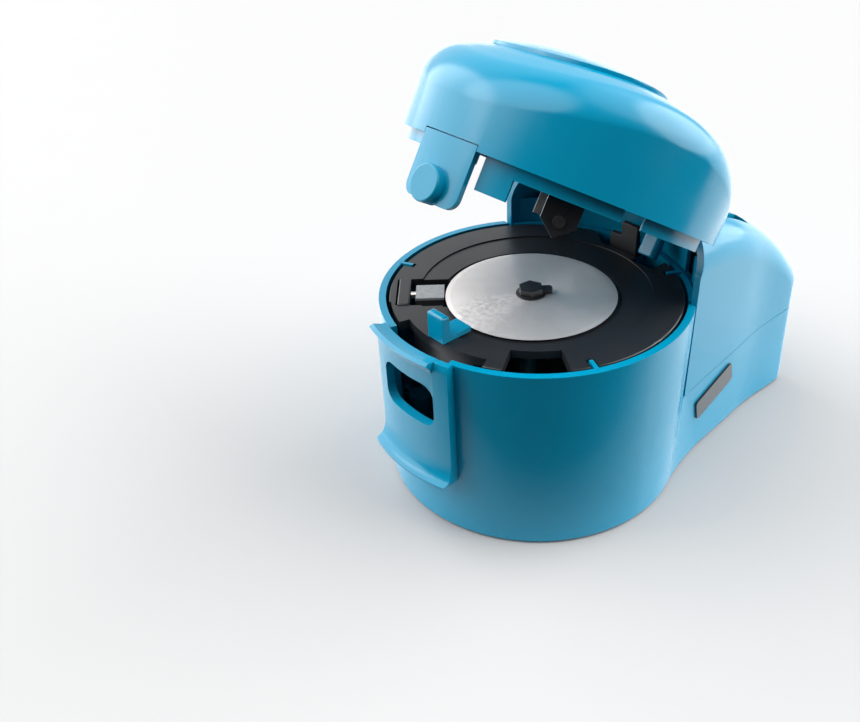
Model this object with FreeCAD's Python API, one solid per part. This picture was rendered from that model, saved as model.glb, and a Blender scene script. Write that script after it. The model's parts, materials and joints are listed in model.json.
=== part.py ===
"""Electric sharpener for round 45 mm rotary-cutter blades, as separate pieces.

Millimetres, +Z up.  The origin is on the standing surface, on the axis of the round drum.
The latch side is the front (-Y), the motor housing is the rear (+Y).  The lid is stored open;
lid pieces are drawn closed and swung open about the hinge line by LID_OPEN degrees.
Angles round the drum are measured from the front, positive towards +X.
"""
import FreeCAD, Part
import math
import os

from FreeCAD import Vector

# ---- driving dimensions -------------------------------------------------------------------------
FOOT = 0.8                      # height of the shell's lower edge above the standing surface
DRUM_R_LOW, DRUM_R = 41.2, 41.5  # outer radius of the drum at its foot and at its rim
RIM_Z = 53.2
WALL = 1.9
BORE_R = DRUM_R - WALL          # inside of the drum wall
WALL_END_Y = 22.1               # the free drum wall stops here, the cover takes over

SEAM_Y0, SEAM_Z0 = 23.0, 24.4   # parting plane between lower shell and rear cover
SEAM_Y1, SEAM_Z1 = 80.0, 28.0
REAR_Y0, REAR_DRAFT = 83.6, 4.0  # rear wall at the floor, leaning forward by this many degrees
FLANK_W0, FLANK_W1 = 34.9, 31.0  # half width of the housing at y = 22 and from y = 62 on
FLANK_Y0, FLANK_Y1 = 22.0, 62.0
ROOF_R, ROOF_CY, ROOF_CZ = 82.6, 16.4, -9.0   # side profile of the housing roof
SHOULDER_R = 11.0               # long rounded shoulders of the roof
CORNER_R = 5.0                  # rear corners of the housing
COVER_Y = 23.0                  # front edge of the cover

HINGE_Y, HINGE_Z = 51.5, 54.0   # lid hinge line, parallel to X
LID_OPEN = 31.2                 # stored opening angle, degrees
COVER_ARC, LID_ARC = 29.2, 29.8  # radii about the hinge line of the cover's and the lid's meeting edges

DECK_R, DECK_TOP, DECK_T = 38.75, 53.0, 2.5
RING_R, RING_DROP = 30.7, 0.35  # shallow seat for a 60 mm blade
SEAT_R, SEAT_DROP = 23.7, 0.75  # seat for the 45 mm blade

AXIS_X, AXIS_Y = 1.2, -2.6      # spindle axis
BLADE_R, BLADE_T, BLADE_HOLE_R = 22.5, 0.3, 4.0
BLADE_TOP = 53.1
HEAD_R = 3.3                    # six-sided head of the driving post, across its corners

LATCH_R, LATCH_HALF = 44.4, 17.8   # front latch plate: outer radius and half angle
LATCH_LOW, LATCH_TOP = 17.2, 54.0
LATCH_CORNER_R = 4.0            # rounded lower corners of the latch plate

LID_RIM = 53.5                  # lower edge of the closed lid
CROWN_Z, CROWN_Y = 81.9, -9.5   # highest point of the lid
CROWN_R_SIDE, CROWN_R_CROSS = 46.0, 117.0
LID_EDGE_R = 10.5               # wide rounding between the lid's wall and its crown
LID_SKIN = 1.9

WINDOW = (-9.5, 9.2, 34.3, 46.7)   # opening in the latch plate: x0, x1, z0, z1

SEAT_Z = DECK_TOP - DECK_T      # the deck rests on its seat tabs at this height
RIB_ANGLES = (-65.4, 66.0, 148.3, -148.3)      # locating ribs of the wall in the deck's slots
SEAT_TAB_ANGLES = (112.0, 180.0, -112.0)
DECK_SCREW_ANGLES = (112.0, -112.0)
POCKET = (29.6, 45.0, 33.7, 57.6)  # deck cut-out for the lid's bracket: radii and angles
SLIDER_X = 1.4                  # size stop
STONE_ANGLE, UPPER_ANGLE = -41.0, 44.5          # where the lower and the upper stone sit

TONGUE_HALF = 12.0              # half angle of the latch tongue
LINER_R0, LINER_R1 = 38.0, 39.45   # inner ring of the lid
LID_BOSSES = [(-14.0, 15.5), (14.0, 15.5)]
CARRIER_HALF, CARRIER_LOW, CARRIER_TOP = 25.0, 53.7, 55.3   # plate that joins lid and hinge arms
ARM_X = (-23.5, 23.5)           # hinge arms
TOWER_X = (-27.6, 27.6)         # walls inside the cover that hold the hinge pin
COVER_POSTS = [(-24.0, 62.0), (24.0, 62.0)]

BASE_Z0, BASE_Z1 = 1.2, 2.9     # base plate
BASE_POSTS = [(-27.0, -20.0), (27.0, -20.0), (-24.5, 70.0), (24.5, 70.0)]
FEET = [(-20.0, -28.0), (20.0, -28.0), (-13.0, 72.0), (13.0, 72.0)]
JACK_X, JACK_Z, JACK_R = -16.0, 12.0, 3.9       # supply socket in the rear wall
BADGE_Y, BADGE_LENGTH, BADGE_H, BADGE_Z, BADGE_TILT = 39.2, 18.5, 6.8, 17.4, 15.0
FRAME_Z0, FRAME_Z1 = 11.8, 13.4    # plate over the gears
FRAME_POSTS = [(-16.1, 14.0), (18.5, 14.0), (-10.8, 54.0), (13.2, 54.0)]
MOTOR_SCREW_DX = (-9.8, 9.8)
BOARD_Y = 62.0
SWITCH = (9.0, 15.0, 32.0, 36.0, 36.2, 42.6)    # switch body: x0, x1, y0, y1, z0, z1

MODULE = 0.8                    # gear train
SPINDLE_TEETH, IDLER_TEETH, PINION_TEETH = 48, 30, 14
PRESSURE_ANGLE = math.radians(20)
GEAR_Z, GEAR_T = 5.6, 5.0
IDLER_Y = AXIS_Y + MODULE * (SPINDLE_TEETH + IDLER_TEETH) / 2
MOTOR_Y = IDLER_Y + MODULE * (IDLER_TEETH + PINION_TEETH) / 2

X, Y, Z = Vector(1, 0, 0), Vector(0, 1, 0), Vector(0, 0, 1)
FAR = 200.0


# ---- small helpers ------------------------------------------------------------------------------
def box(x0, x1, y0, y1, z0, z1):
    return Part.makeBox(x1 - x0, y1 - y0, z1 - z0, Vector(x0, y0, z0))


def rod(radius, x, y, z0, z1):
    """Upright cylinder."""
    return Part.makeCylinder(radius, z1 - z0, Vector(x, y, z0))


def cross_rod(radius, x0, x1, y, z):
    """Cylinder along X."""
    return Part.makeCylinder(radius, x1 - x0, Vector(x0, y, z), X)


def tube(outer, inner, x, y, z0, z1):
    return rod(outer, x, y, z0, z1).cut(rod(inner, x, y, z0 - 1, z1 + 1))


def polar(radius, degrees, z=0.0):
    """Point on the drum, angle counted from the front towards +X."""
    a = math.radians(degrees)
    return Vector(radius * math.sin(a), -radius * math.cos(a), z)


def sector(inner, outer, a0, a1, z0, z1):
    """Upright ring segment about the drum axis."""
    mid = (a0 + a1) / 2
    arc_out = Part.Arc(polar(outer, a0, z0), polar(outer, mid, z0), polar(outer, a1, z0)).toShape()
    arc_in = Part.Arc(polar(inner, a1, z0), polar(inner, mid, z0), polar(inner, a0, z0)).toShape()
    side_a = Part.LineSegment(polar(outer, a1, z0), polar(inner, a1, z0)).toShape()
    side_b = Part.LineSegment(polar(inner, a0, z0), polar(outer, a0, z0)).toShape()
    face = Part.Face(Part.Wire([arc_out, side_a, arc_in, side_b]))
    return face.extrude(Vector(0, 0, z1 - z0))


def at_angle(shape, degrees):
    """Turn a piece drawn at the front (-Y) round the drum axis."""
    turned = shape.copy()
    turned.rotate(Vector(0, 0, 0), Z, degrees)
    return turned


def union(shapes):
    shapes = list(shapes)
    first = shapes[0]
    if len(shapes) == 1:
        return first
    return first.fuse(shapes[1:]).removeSplitter()


def cut_all(shape, tools):
    return shape.cut(list(tools)).removeSplitter()


def side_profile(points, half_width):
    """Polygon in the YZ plane, extruded symmetrically across X."""
    wire = Part.makePolygon([Vector(-half_width, y, z) for y, z in points + points[:1]])
    return Part.Face(wire).extrude(Vector(2 * half_width, 0, 0))


def opened(shape):
    """Swing a lid piece from closed to its stored, open position."""
    swung = shape.copy()
    swung.rotate(Vector(0, HINGE_Y, HINGE_Z), X, -LID_OPEN)
    return swung


def soften(shape, radius, wanted):
    """Round the edges that the test picks out."""
    edges = [edge for edge in shape.Edges if wanted(edge)]
    return shape.makeFillet(radius, edges) if edges else shape


def solids_only(shape):
    solids = shape.Solids
    return solids[0] if len(solids) == 1 else Part.makeCompound(solids)


def save(node, shape):
    solids_only(shape).exportStep("parts/" + node + ".step")


# ---- rear housing, shared by the lower shell and the cover --------------------------------------
def flank(y):
    """Half width of the housing."""
    t = min(max((y - FLANK_Y0) / (FLANK_Y1 - FLANK_Y0), -0.2), 1.0)
    return FLANK_W0 + (FLANK_W1 - FLANK_W0) * t


def roof(y):
    return ROOF_CZ + math.sqrt(ROOF_R ** 2 - (y - ROOF_CY) ** 2)


def housing_section(y, inset):
    """Rounded cross-section of the housing at one y."""
    half, top, r = flank(y) - inset, roof(y) - inset, SHOULDER_R - inset
    low = -5.0
    crown = 0.8
    bevel = r * math.sin(math.radians(45))
    p = [Vector(half, y, low), Vector(half, y, top - r - crown), Vector(half - r + bevel, y, top - r - crown + bevel),
         Vector(half - r, y, top - crown), Vector(0, y, top)]
    mirrored = [Vector(-v.x, v.y, v.z) for v in p]
    edges = [Part.LineSegment(p[0], p[1]).toShape(),
             Part.Arc(p[1], p[2], p[3]).toShape(),
             Part.Arc(p[3], p[4], mirrored[3]).toShape(),
             Part.Arc(mirrored[3], mirrored[2], mirrored[1]).toShape(),
             Part.LineSegment(mirrored[1], mirrored[0]).toShape(),
             Part.LineSegment(mirrored[0], p[0]).toShape()]
    return Part.Wire(edges)


def rear_half_space(inset):
    """Everything behind the leaning rear wall."""
    block = Part.makeBox(FAR, FAR, FAR, Vector(-FAR / 2, REAR_Y0 - inset, -FAR / 4))
    block.rotate(Vector(0, REAR_Y0 - inset, 0), X, REAR_DRAFT)
    return block


def housing_block(inset):
    stations = [14.0, 22.0, 32.0, 42.0, 52.0, 62.0, 72.0, 80.0, 86.0]
    block = Part.makeLoft([housing_section(y, inset) for y in stations], True, False)
    block = block.cut(rear_half_space(inset))

    def on_rear_rim(edge):
        size = edge.BoundBox
        return size.YMin > 70 and size.ZMax > 1 and size.YLength < 8 and size.XLength + size.ZLength > 4
    rear = [e for e in block.Edges if on_rear_rim(e) and abs(rear_gap(e.Vertexes[0].Point, inset)) < 0.01
            and abs(rear_gap(e.Vertexes[-1].Point, inset)) < 0.01]
    return block.makeFillet(CORNER_R - inset / 2, rear)


def rear_gap(point, inset):
    """Distance of a point in front of the rear wall plane."""
    lean = math.radians(REAR_DRAFT)
    return (REAR_Y0 - inset - point.y) * math.cos(lean) - point.z * math.sin(lean)


def above_seam(lift):
    """Everything above the parting plane, moved up by lift."""
    slope = (SEAM_Z1 - SEAM_Z0) / (SEAM_Y1 - SEAM_Y0)
    y0, y1 = -60.0, 120.0
    z0, z1 = [SEAM_Z0 + slope * (y - SEAM_Y0) + lift for y in (y0, y1)]
    return side_profile([(y0, z0), (y1, z1), (y1, 150.0), (y0, 150.0)], 90.0)


# ---- lower shell --------------------------------------------------------------------------------


def blend_gusset(side):
    """Sweeps the drum into the housing flank, wide at the foot and fading out at the parting line."""
    def outline(z, y_drum, y_flank, sag):
        x_drum = math.sqrt(DRUM_R_LOW ** 2 - y_drum ** 2) - 0.05
        a, b = Vector(x_drum, y_drum, z), Vector(flank(y_flank) - 0.05, y_flank, z)
        mid = (a + b) * 0.5 + Vector(-sag, -sag * 0.2, 0)
        c = Vector(31.5, (y_drum + y_flank) / 2, z)
        a, mid, b, c = [Vector(side * v.x, v.y, v.z) for v in (a, mid, b, c)]
        return Part.Wire([Part.Arc(a, mid, b).toShape(), Part.LineSegment(b, c).toShape(),
                          Part.LineSegment(c, a).toShape()])
    return Part.makeLoft([outline(FOOT, 15.0, 42.0, 0.9), outline(24.2, 20.8, 25.5, 0.1)], True, True)


def locating_rib(degrees):
    return at_angle(box(-0.5, 0.5, -BORE_R - 0.6, -36.2, 44.0, 53.3), degrees)


def seat_tab(degrees):
    """Tab inside the wall that carries the deck."""
    return at_angle(box(-4.5, 4.5, -BORE_R - 0.6, -29.8, 46.4, SEAT_Z), degrees)


def badge_plate(grow):
    """Blank plate on the right flank, along the flank's taper."""
    half = BADGE_LENGTH / 2 + grow
    plate = box(-0.8 - grow, 0.6, -half, half, -BADGE_H / 2 - grow, BADGE_H / 2 + grow)
    plate = soften(plate, 0.9, lambda e: e.BoundBox.XLength > 1.0)
    plate.rotate(Vector(0, 0, 0), X, BADGE_TILT)
    plate.rotate(Vector(0, 0, 0), Z, math.degrees(math.atan((FLANK_W0 - FLANK_W1) / (FLANK_Y1 - FLANK_Y0))))
    plate.translate(Vector(flank(BADGE_Y), BADGE_Y, BADGE_Z))
    return plate


def jack_rod(radius, inside, outside):
    """Cylinder on the axis of the supply socket, through the rear wall."""
    y = REAR_Y0 - JACK_Z * math.tan(math.radians(REAR_DRAFT))
    return Part.makeCylinder(radius, inside + outside, Vector(JACK_X, y - inside, JACK_Z), Y)


def lower_shell():
    drum = Part.makeCone(DRUM_R_LOW, DRUM_R, RIM_Z - FOOT, Vector(0, 0, FOOT))
    drum = drum.cut(box(-60, 60, WALL_END_Y, 60, SEAM_Z0, 80))
    block = housing_block(0.0).cut([above_seam(0.0), box(-90, 90, -90, 120, -30, FOOT)])
    outer = union([drum, block, blend_gusset(1), blend_gusset(-1)])
    room = housing_block(WALL).common(box(-60, 60, 26.0, 100, -30, 100))
    hollow = cut_all(outer, [rod(BORE_R, 0, 0, -5, 80), room])
    inner_wall = tube(DRUM_R - 0.4, BORE_R, 0, 0, 16.0, RIM_Z - 0.4)
    inner_wall = inner_wall.common(housing_block(2.6)).common(box(-60, 60, WALL_END_Y - 0.4, 60, 0, 80))
    parts = [hollow, inner_wall]
    parts += [locating_rib(a) for a in RIB_ANGLES]
    parts += [seat_tab(a) for a in SEAT_TAB_ANGLES]
    for x, y in BASE_POSTS:
        parts.append(rod(3.4, x, y, 2.9, 14.0))
        outward = (x, x * 1.3) if y < 0 else (x, x + math.copysign(6.0, x))
        parts.append(box(min(outward), max(outward), y - 0.8, y + 0.8, 2.9, 13.0))
    shell = union(parts)
    tools = [sector(36, 50, -15.5, 15.5, 21.5, 70), box(-17, 17, 30, 45, 0, 36.5)]
    tools += [jack_rod(JACK_R, 6, 6), badge_plate(0.05)]
    tools += [rod(1.25, x, y, 2, 13.0) for x, y in BASE_POSTS]
    tools += [at_angle(rod(1.1, 0, -33.5, 40, 60), a) for a in DECK_SCREW_ANGLES]
    return cut_all(shell, tools)


# ---- cover, base and small pieces fixed to the shell --------------------------------------------


def arm_slots(z0):
    return [box(x - 2.2, x + 2.2, 18, HINGE_Y + 4.8, z0, 90) for x in ARM_X]


def rear_cover():
    skin = housing_block(0.0).cut(housing_block(WALL))
    skin = skin.common(above_seam(0.15)).common(box(-90, 90, COVER_Y, 120, 0, 120))
    lip_zone = box(-90, 90, COVER_Y - 1, 45, HINGE_Z, 100)
    skin = skin.cut(lip_zone.cut(cross_rod(COVER_ARC, -80, 80, HINGE_Y, HINGE_Z)))
    skin = skin.cut(arm_slots(57.0))
    inside = housing_block(0.6)
    towers = [box(x - 1.6, x + 1.6, HINGE_Y - 5, HINGE_Y + 5, 46.0, 70.0).common(inside) for x in TOWER_X]
    posts = [tube(3.0, 1.25, x, y, 30.0, 62.0).common(inside) for x, y in COVER_POSTS]
    return cut_all(union([skin] + towers + posts), [cross_rod(2.03, -29.7, 29.7, HINGE_Y, HINGE_Z)])


def baffle():
    """Curved inner wall behind the deck, between the cutting chamber and the motor room."""
    wall = sector(DRUM_R + 0.2, DRUM_R + 1.8, 123, 237, 42.0, 60.0).common(housing_block(WALL))
    return cut_all(wall.common(box(-60, 60, 24.5, 60, 0, 80)), arm_slots(52.0))


def base_plate():
    plate = union([rod(BORE_R - 0.3, 0, 0, BASE_Z0, BASE_Z1),
                   housing_block(WALL + 0.3).common(box(-60, 60, 27, 100, BASE_Z0, BASE_Z1))])
    holes = [rod(1.6, x, y, 0, 4) for x, y in BASE_POSTS]
    holes += [rod(5.1, x, y, 0, BASE_Z0 + 0.8) for x, y in FEET]
    holes += [box(-14, 14, y - 0.9, y + 0.9, 0, 4) for y in (52.0, 57.0, 62.0)]
    return cut_all(plate, holes)


def rubber_feet():
    pads = [rod(5.0, x, y, 0, BASE_Z0 + 0.8) for x, y in FEET]
    pads.append(rod(7.0, 0, 0, 0, BASE_Z0))
    return Part.makeCompound([soften(p, 0.35, lambda e: abs(e.BoundBox.ZMax) < 1e-6) for p in pads])


def screw(x, y, z_head, head_t, head_r, shank_r, length, up=True):
    """Pan-head screw with a cross slot, pointing up or down from the underside of its head."""
    head = rod(head_r, 0, 0, -head_t, 0)
    head = soften(head, head_t * 0.45, lambda e: abs(e.BoundBox.ZMax + head_t) < 1e-6)
    slots = [box(-head_r * 0.55, head_r * 0.55, -0.22, 0.22, -head_t - 1, -head_t * 0.55)]
    slots.append(slots[0].copy())
    slots[1].rotate(Vector(0, 0, 0), Z, 90)
    piece = union([head.cut(slots), rod(shank_r, 0, 0, -0.1, length)])
    if not up:
        piece.rotate(Vector(0, 0, 0), X, 180)
    piece.translate(Vector(x, y, z_head))
    return piece


def base_screws():
    return Part.makeCompound([screw(x, y, BASE_Z0, 0.9, 2.6, 1.2, 10.5) for x, y in BASE_POSTS])


def deck_screws():
    return Part.makeCompound([at_angle(screw(0, -33.5, 46.4, 1.4, 2.2, 1.0, 5.4), a) for a in DECK_SCREW_ANGLES])


def badge():
    return badge_plate(0.0)


# ---- latch plate at the front -------------------------------------------------------------------


def turned_profile(points, a0, a1):
    """Outline of (radius, z) points swept round the drum axis from a0 to a1."""
    wire = Part.makePolygon([polar(r, a0, z) for r, z in points + points[:1]])
    return Part.Face(wire).revolve(Vector(0, 0, 0), Z, a1 - a0)


def latch_plate():
    inner, ledge = 41.0, LATCH_R + 3.1
    scoop = [(LATCH_R + 2.6 - 2.6 * math.sin(math.radians(t)), 19.2 + 5.6 * (1 - math.cos(math.radians(t))))
             for t in range(0, 91, 15)]
    foot = [(inner, LATCH_LOW), (ledge - 1.2, LATCH_LOW), (ledge, LATCH_LOW + 1.0), (ledge, 19.0)] + scoop
    lip = [(LATCH_R, 51.0), (LATCH_R + 0.5, 52.3), (LATCH_R + 2.0, LATCH_TOP), (LATCH_R + 0.9, LATCH_TOP + 0.5),
           (LATCH_R - 1.2, LATCH_TOP - 0.1), (inner, LATCH_TOP - 0.1)]
    plain = [(LATCH_R, 52.0), (LATCH_R - 0.8, LATCH_TOP - 0.2), (inner, LATCH_TOP - 0.2)]
    plate = union([turned_profile(foot + lip, -LATCH_HALF, 12.0), turned_profile(foot + plain, 11.9, LATCH_HALF)])
    x0, x1, z0, z1 = WINDOW
    window = soften(box(x0, x1, -60, -30, z0, z1), 3.5, lambda e: e.BoundBox.YLength > 10)
    half = (ledge + 0.1) * math.sin(math.radians(LATCH_HALF))
    outline = soften(box(-half, half, -60, -30, LATCH_LOW - 0.1, 70), LATCH_CORNER_R,
                     lambda e: e.BoundBox.YLength > 10 and e.BoundBox.ZMax < LATCH_LOW)
    tongue_room = sector(36, LATCH_R - 2.5, -16.2, 16.2, 20.0, 70.0)
    drum = Part.makeCone(DRUM_R_LOW, DRUM_R, RIM_Z - FOOT, Vector(0, 0, FOOT))
    above = rod(DRUM_R + 0.35, 0, 0, RIM_Z - 0.5, 80)
    return cut_all(plate.common(outline), [drum, above, window, tongue_room])


def latch_backing():
    """Dark wall that closes the tongue's shaft towards the mechanism."""
    return sector(33.6, 34.7, -17.5, 20.5, 34.0, SEAT_Z)


# ---- working deck -------------------------------------------------------------------------------


def deck():
    top, low = DECK_TOP, DECK_TOP - DECK_T
    plate = rod(DECK_R, 0, 0, low, top)
    plate = soften(plate, 0.4, lambda e: abs(e.BoundBox.ZMin - top) < 1e-6)
    body = union([plate, rod(13.0, AXIS_X, AXIS_Y, low - 3.0, low + 1), rod(7.5, AXIS_X, AXIS_Y, 40.0, low)])
    front = sector(35.5, 45, -18, 26.6, low - 1, top + 1)
    side = sector(38.3, 45, -34, -17.9, low - 1, top + 1)
    pocket = sector(POCKET[0], POCKET[1], POCKET[2], POCKET[3], low - 1, top + 1)
    slot = soften(at_angle(box(-7.0, 7.0, -36.8, -22.4, low - 1, top + 1), STONE_ANGLE), 0.8,
                  lambda e: e.BoundBox.ZLength > 4)
    notch = Part.Face(Part.makePolygon([Vector(x, y, low - 1) for x, y in (
        (-12.5, 45), (-11.5, 36.8), (-5, 32.3), (7.6, 32.3), (7.6, 30.0), (14.8, 30.0), (14.8, 45), (-12.5, 45))]))
    tools = [rod(RING_R, 0, 0, top - RING_DROP, top + 1), rod(SEAT_R, AXIS_X, AXIS_Y, top - SEAT_DROP, top + 1),
             rod(9.6, AXIS_X, AXIS_Y, low - 1.0, top + 1), rod(4.5, AXIS_X, AXIS_Y, 30, top),
             front, side, pocket, slot, notch.extrude(Vector(0, 0, DECK_T + 2)),
             box(SLIDER_X - 1.3, SLIDER_X + 1.3, -34.0, -27.4, low - 1, top + 1)]
    tools += [at_angle(box(-1.0, 1.0, -45, -35.5, low - 1, top + 1), a) for a in RIB_ANGLES]
    tools += [at_angle(rod(1.05, 0, -33.5, low - 1, top - 0.8), a) for a in DECK_SCREW_ANGLES]
    return cut_all(body, tools)


def size_slider():
    """Sliding stop for the blade size: flat arm, upright thumb tab and a keeper under the deck."""
    z0 = DECK_TOP + 0.1
    arm = box(SLIDER_X - 2.75, SLIDER_X + 2.75, -33.4, -26.2, z0, z0 + 1.3)
    tab = box(SLIDER_X - 2.9, SLIDER_X + 2.9, -35.4, -33.2, z0, 60.5)
    tab = soften(tab, 0.7, lambda e: e.BoundBox.ZMin > 59)
    key = box(SLIDER_X - 1.1, SLIDER_X + 1.1, -31.2, -28.0, 50.0, z0 + 0.2)
    foot = box(SLIDER_X - 2.6, SLIDER_X + 2.6, -31.2, -28.0, 48.9, 50.2)
    return union([arm, tab, key, foot])


# ---- lower stone --------------------------------------------------------------------------------
def lower_stone_block():
    return at_angle(soften(box(-6.9, 6.9, -36.3, -33.0, 50.6, 53.4), 0.5, lambda e: e.BoundBox.ZMin > 53)
                    .cut(front_rod(1.02, -40, -20, 51.9)), STONE_ANGLE)


def front_rod(radius, y0, y1, z):
    return Part.makeCylinder(radius, y1 - y0, Vector(0, y0, z), Y)


def lower_stone_shaft():
    return at_angle(front_rod(1.0, -36.0, -27.0, 51.9), STONE_ANGLE)


def lower_stone_carrier():
    body = box(-3.4, 3.4, -31.7, -24.1, 49.6, 52.2)
    return at_angle(body.cut(front_rod(1.06, -40, -26.5, 51.9).fuse(box(-1.06, 1.06, -40, -26.5, 51.9, 60))),
                    STONE_ANGLE)


def lower_stone():
    return at_angle(box(-3.5, 3.5, -31.6, -24.0, 52.25, 53.0).cut(box(-1.1, 1.1, -40, -26.4, 52.0, 52.95)),
                    STONE_ANGLE)


# ---- blade and drive ----------------------------------------------------------------------------
def involute(cosine):
    """Involute function of the angle with that cosine."""
    angle = math.acos(cosine)
    return math.tan(angle) - angle


def involute_gear(teeth, x, y, phase, bore):
    """Spur gear with a little backlash; phase is the angle of its first tooth, in degrees."""
    pitch = MODULE * teeth / 2
    base = pitch * math.cos(PRESSURE_ANGLE)
    tip, root = pitch + 0.8 * MODULE, pitch - 1.05 * MODULE
    backlash = 0.09 / pitch

    def flank_angle(r):
        """Angle from the tooth centre line to its flank at radius r."""
        return math.pi / (2 * teeth) - backlash + involute(base / pitch) - involute(min(1.0, base / r))

    start = max(base, root)
    radii = [start + (tip - start) * k / 4 for k in range(5)]
    outline = []
    for n in range(teeth):
        centre = math.radians(phase) + 2 * math.pi * n / teeth
        left = [(r, centre - flank_angle(r)) for r in radii]
        right = [(r, centre + flank_angle(r)) for r in reversed(radii)]
        outline += [(root, left[0][1])] + left + right + [(root, right[-1][1])]
    points = [Vector(x + r * math.cos(a), y + r * math.sin(a), GEAR_Z) for r, a in outline]
    wheel = Part.Face(Part.makePolygon(points + points[:1])).extrude(Vector(0, 0, GEAR_T))
    return wheel.cut(rod(bore, x, y, 0, 30))


def spindle_gear():
    gear = involute_gear(SPINDLE_TEETH, AXIS_X, AXIS_Y, 90.0, 2.51)
    web = tube(15.5, 6.0, AXIS_X, AXIS_Y, GEAR_Z + 3.4, GEAR_Z + GEAR_T + 1)
    return cut_all(gear, [web])


def idler_gear():
    return involute_gear(IDLER_TEETH, AXIS_X, IDLER_Y, 270.0 + 180.0 / IDLER_TEETH, 1.56)


def motor_pinion():
    return involute_gear(PINION_TEETH, AXIS_X, MOTOR_Y, 270.0, 1.0)


def motor_shaft():
    return rod(1.0, AXIS_X, MOTOR_Y, 4.6, 24.0)


def spindle_shaft():
    shaft = rod(2.5, AXIS_X, AXIS_Y, 3.1, 50.0)
    return union([shaft, rod(9.0, AXIS_X, AXIS_Y, 49.8, 51.8), rod(3.6, AXIS_X, AXIS_Y, 51.7, 52.7)])


def magnet():
    return tube(8.5, 3.65, AXIS_X, AXIS_Y, 51.8, 52.75)


def blade():
    disc = rod(BLADE_R, AXIS_X, AXIS_Y, BLADE_TOP - BLADE_T, BLADE_TOP)
    disc = soften(disc, 0.12, lambda e: e.BoundBox.XLength > 40)
    return disc.cut(rod(BLADE_HOLE_R, AXIS_X, AXIS_Y, 50, 56))


def centre_post():
    """Driving post: round pilot in the blade's hole and a keyed head above it."""
    pilot = rod(3.9, 0, 0, 52.75, BLADE_TOP + 0.3)
    corners = [polar(HEAD_R, 60 * k + 30, BLADE_TOP + 0.2) for k in range(6)]
    head = Part.Face(Part.makePolygon(corners + corners[:1])).extrude(Vector(0, 0, 1.8))
    wing = soften(box(-1.3, 1.3, -3.0, 5.6, BLADE_TOP + 0.2, BLADE_TOP + 1.4), 0.9,
                  lambda e: e.BoundBox.ZLength > 1)
    post = union([pilot, head, wing])
    post.rotate(Vector(0, 0, 0), Z, -37.7)
    post.translate(Vector(AXIS_X, AXIS_Y, 0))
    return post


def spindle_bearing(z0, z1, outer):
    return tube(outer, 2.55, AXIS_X, AXIS_Y, z0, z1)


# ---- motor room ---------------------------------------------------------------------------------


def gear_frame():
    """Plate over the gears: carries the spindle's lower bearing, the idler axle and the motor."""
    outline = [(-7, -9), (9.4, -9), (22, 10), (22, 20), (17, 40), (17, 58), (-14.6, 58), (-14.6, 40),
               (-19.6, 20), (-19.6, 10)]
    points = [Vector(x, y, FRAME_Z0) for x, y in outline + outline[:1]]
    plate = Part.Face(Part.makePolygon(points)).extrude(Vector(0, 0, FRAME_Z1 - FRAME_Z0))
    posts = [rod(2.6, x, y, BASE_Z1, FRAME_Z0 + 0.2) for x, y in FRAME_POSTS]
    collar = rod(6.0, AXIS_X, AXIS_Y, FRAME_Z0, 18.0)
    tools = [rod(4.2, AXIS_X, AXIS_Y, 0, 30), rod(1.5, AXIS_X, IDLER_Y, 10, 20), rod(4.2, AXIS_X, MOTOR_Y, 10, 20)]
    tools += [rod(1.4, AXIS_X + dx, MOTOR_Y, 10, 20) for dx in MOTOR_SCREW_DX]
    return cut_all(union([plate, collar] + posts), tools)


def idler_axle():
    return rod(1.5, AXIS_X, IDLER_Y, BASE_Z1, FRAME_Z1)


def motor():
    can = soften(rod(13.9, AXIS_X, MOTOR_Y, FRAME_Z1, 32.0), 1.2, lambda e: e.BoundBox.ZMax < FRAME_Z1 + 0.1)
    can = can.fuse(rod(4.0, AXIS_X, MOTOR_Y, FRAME_Z1 - 1.4, FRAME_Z1 + 0.1))
    tools = [rod(1.1, AXIS_X, MOTOR_Y, 5, 25.0)]
    tools += [rod(1.25, AXIS_X + dx, MOTOR_Y, 10, FRAME_Z1 + 4) for dx in MOTOR_SCREW_DX]
    return cut_all(can, tools)


def motor_cap():
    cap = soften(rod(13.7, AXIS_X, MOTOR_Y, 32.0, 35.0), 0.8, lambda e: e.BoundBox.ZMin > 34.9)
    tags = [box(AXIS_X + dx - 1.2, AXIS_X + dx + 1.2, MOTOR_Y + 7.6, MOTOR_Y + 8.1, 34.5, 38.5) for dx in (-6, 6)]
    return union([cap] + tags)


def motor_screws():
    return Part.makeCompound([screw(AXIS_X + dx, MOTOR_Y, FRAME_Z0, 1.0, 2.1, 1.2, 4.6) for dx in MOTOR_SCREW_DX])


def circuit_board():
    return box(-10.0, 19.0, BOARD_Y, BOARD_Y + 1.5, BASE_Z1, 27.0)


def board_parts():
    back = BOARD_Y + 1.5
    cap = Part.makeCylinder(3.5, 7.5, Vector(-3.0, back, 19.0), Y)
    relay = box(4.0, 16.0, back, back + 8.5, 13.0, 23.0)
    plug = box(3.0, 13.0, back, back + 5.5, 5.0, 10.5)
    chips = [box(-8.0, -4.0, back, back + 1.6, z, z + 2.6) for z in (5.0, 9.5)]
    return Part.makeCompound([cap, relay, plug] + chips)


def dc_socket():
    """Barrel supply socket behind the rear wall, open to the back."""
    y_face = REAR_Y0 - JACK_Z * math.tan(math.radians(REAR_DRAFT))
    body = box(JACK_X - 5.0, JACK_X + 5.0, 66.5, y_face - 3.2, 6.5, 17.5)
    body = body.fuse(jack_rod(3.8, 4.0, -0.5))
    bore = jack_rod(2.8, 11.0, 3.0)
    pin = jack_rod(0.95, 11.5, -1.0)
    return union([body.cut(bore), pin])


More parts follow.
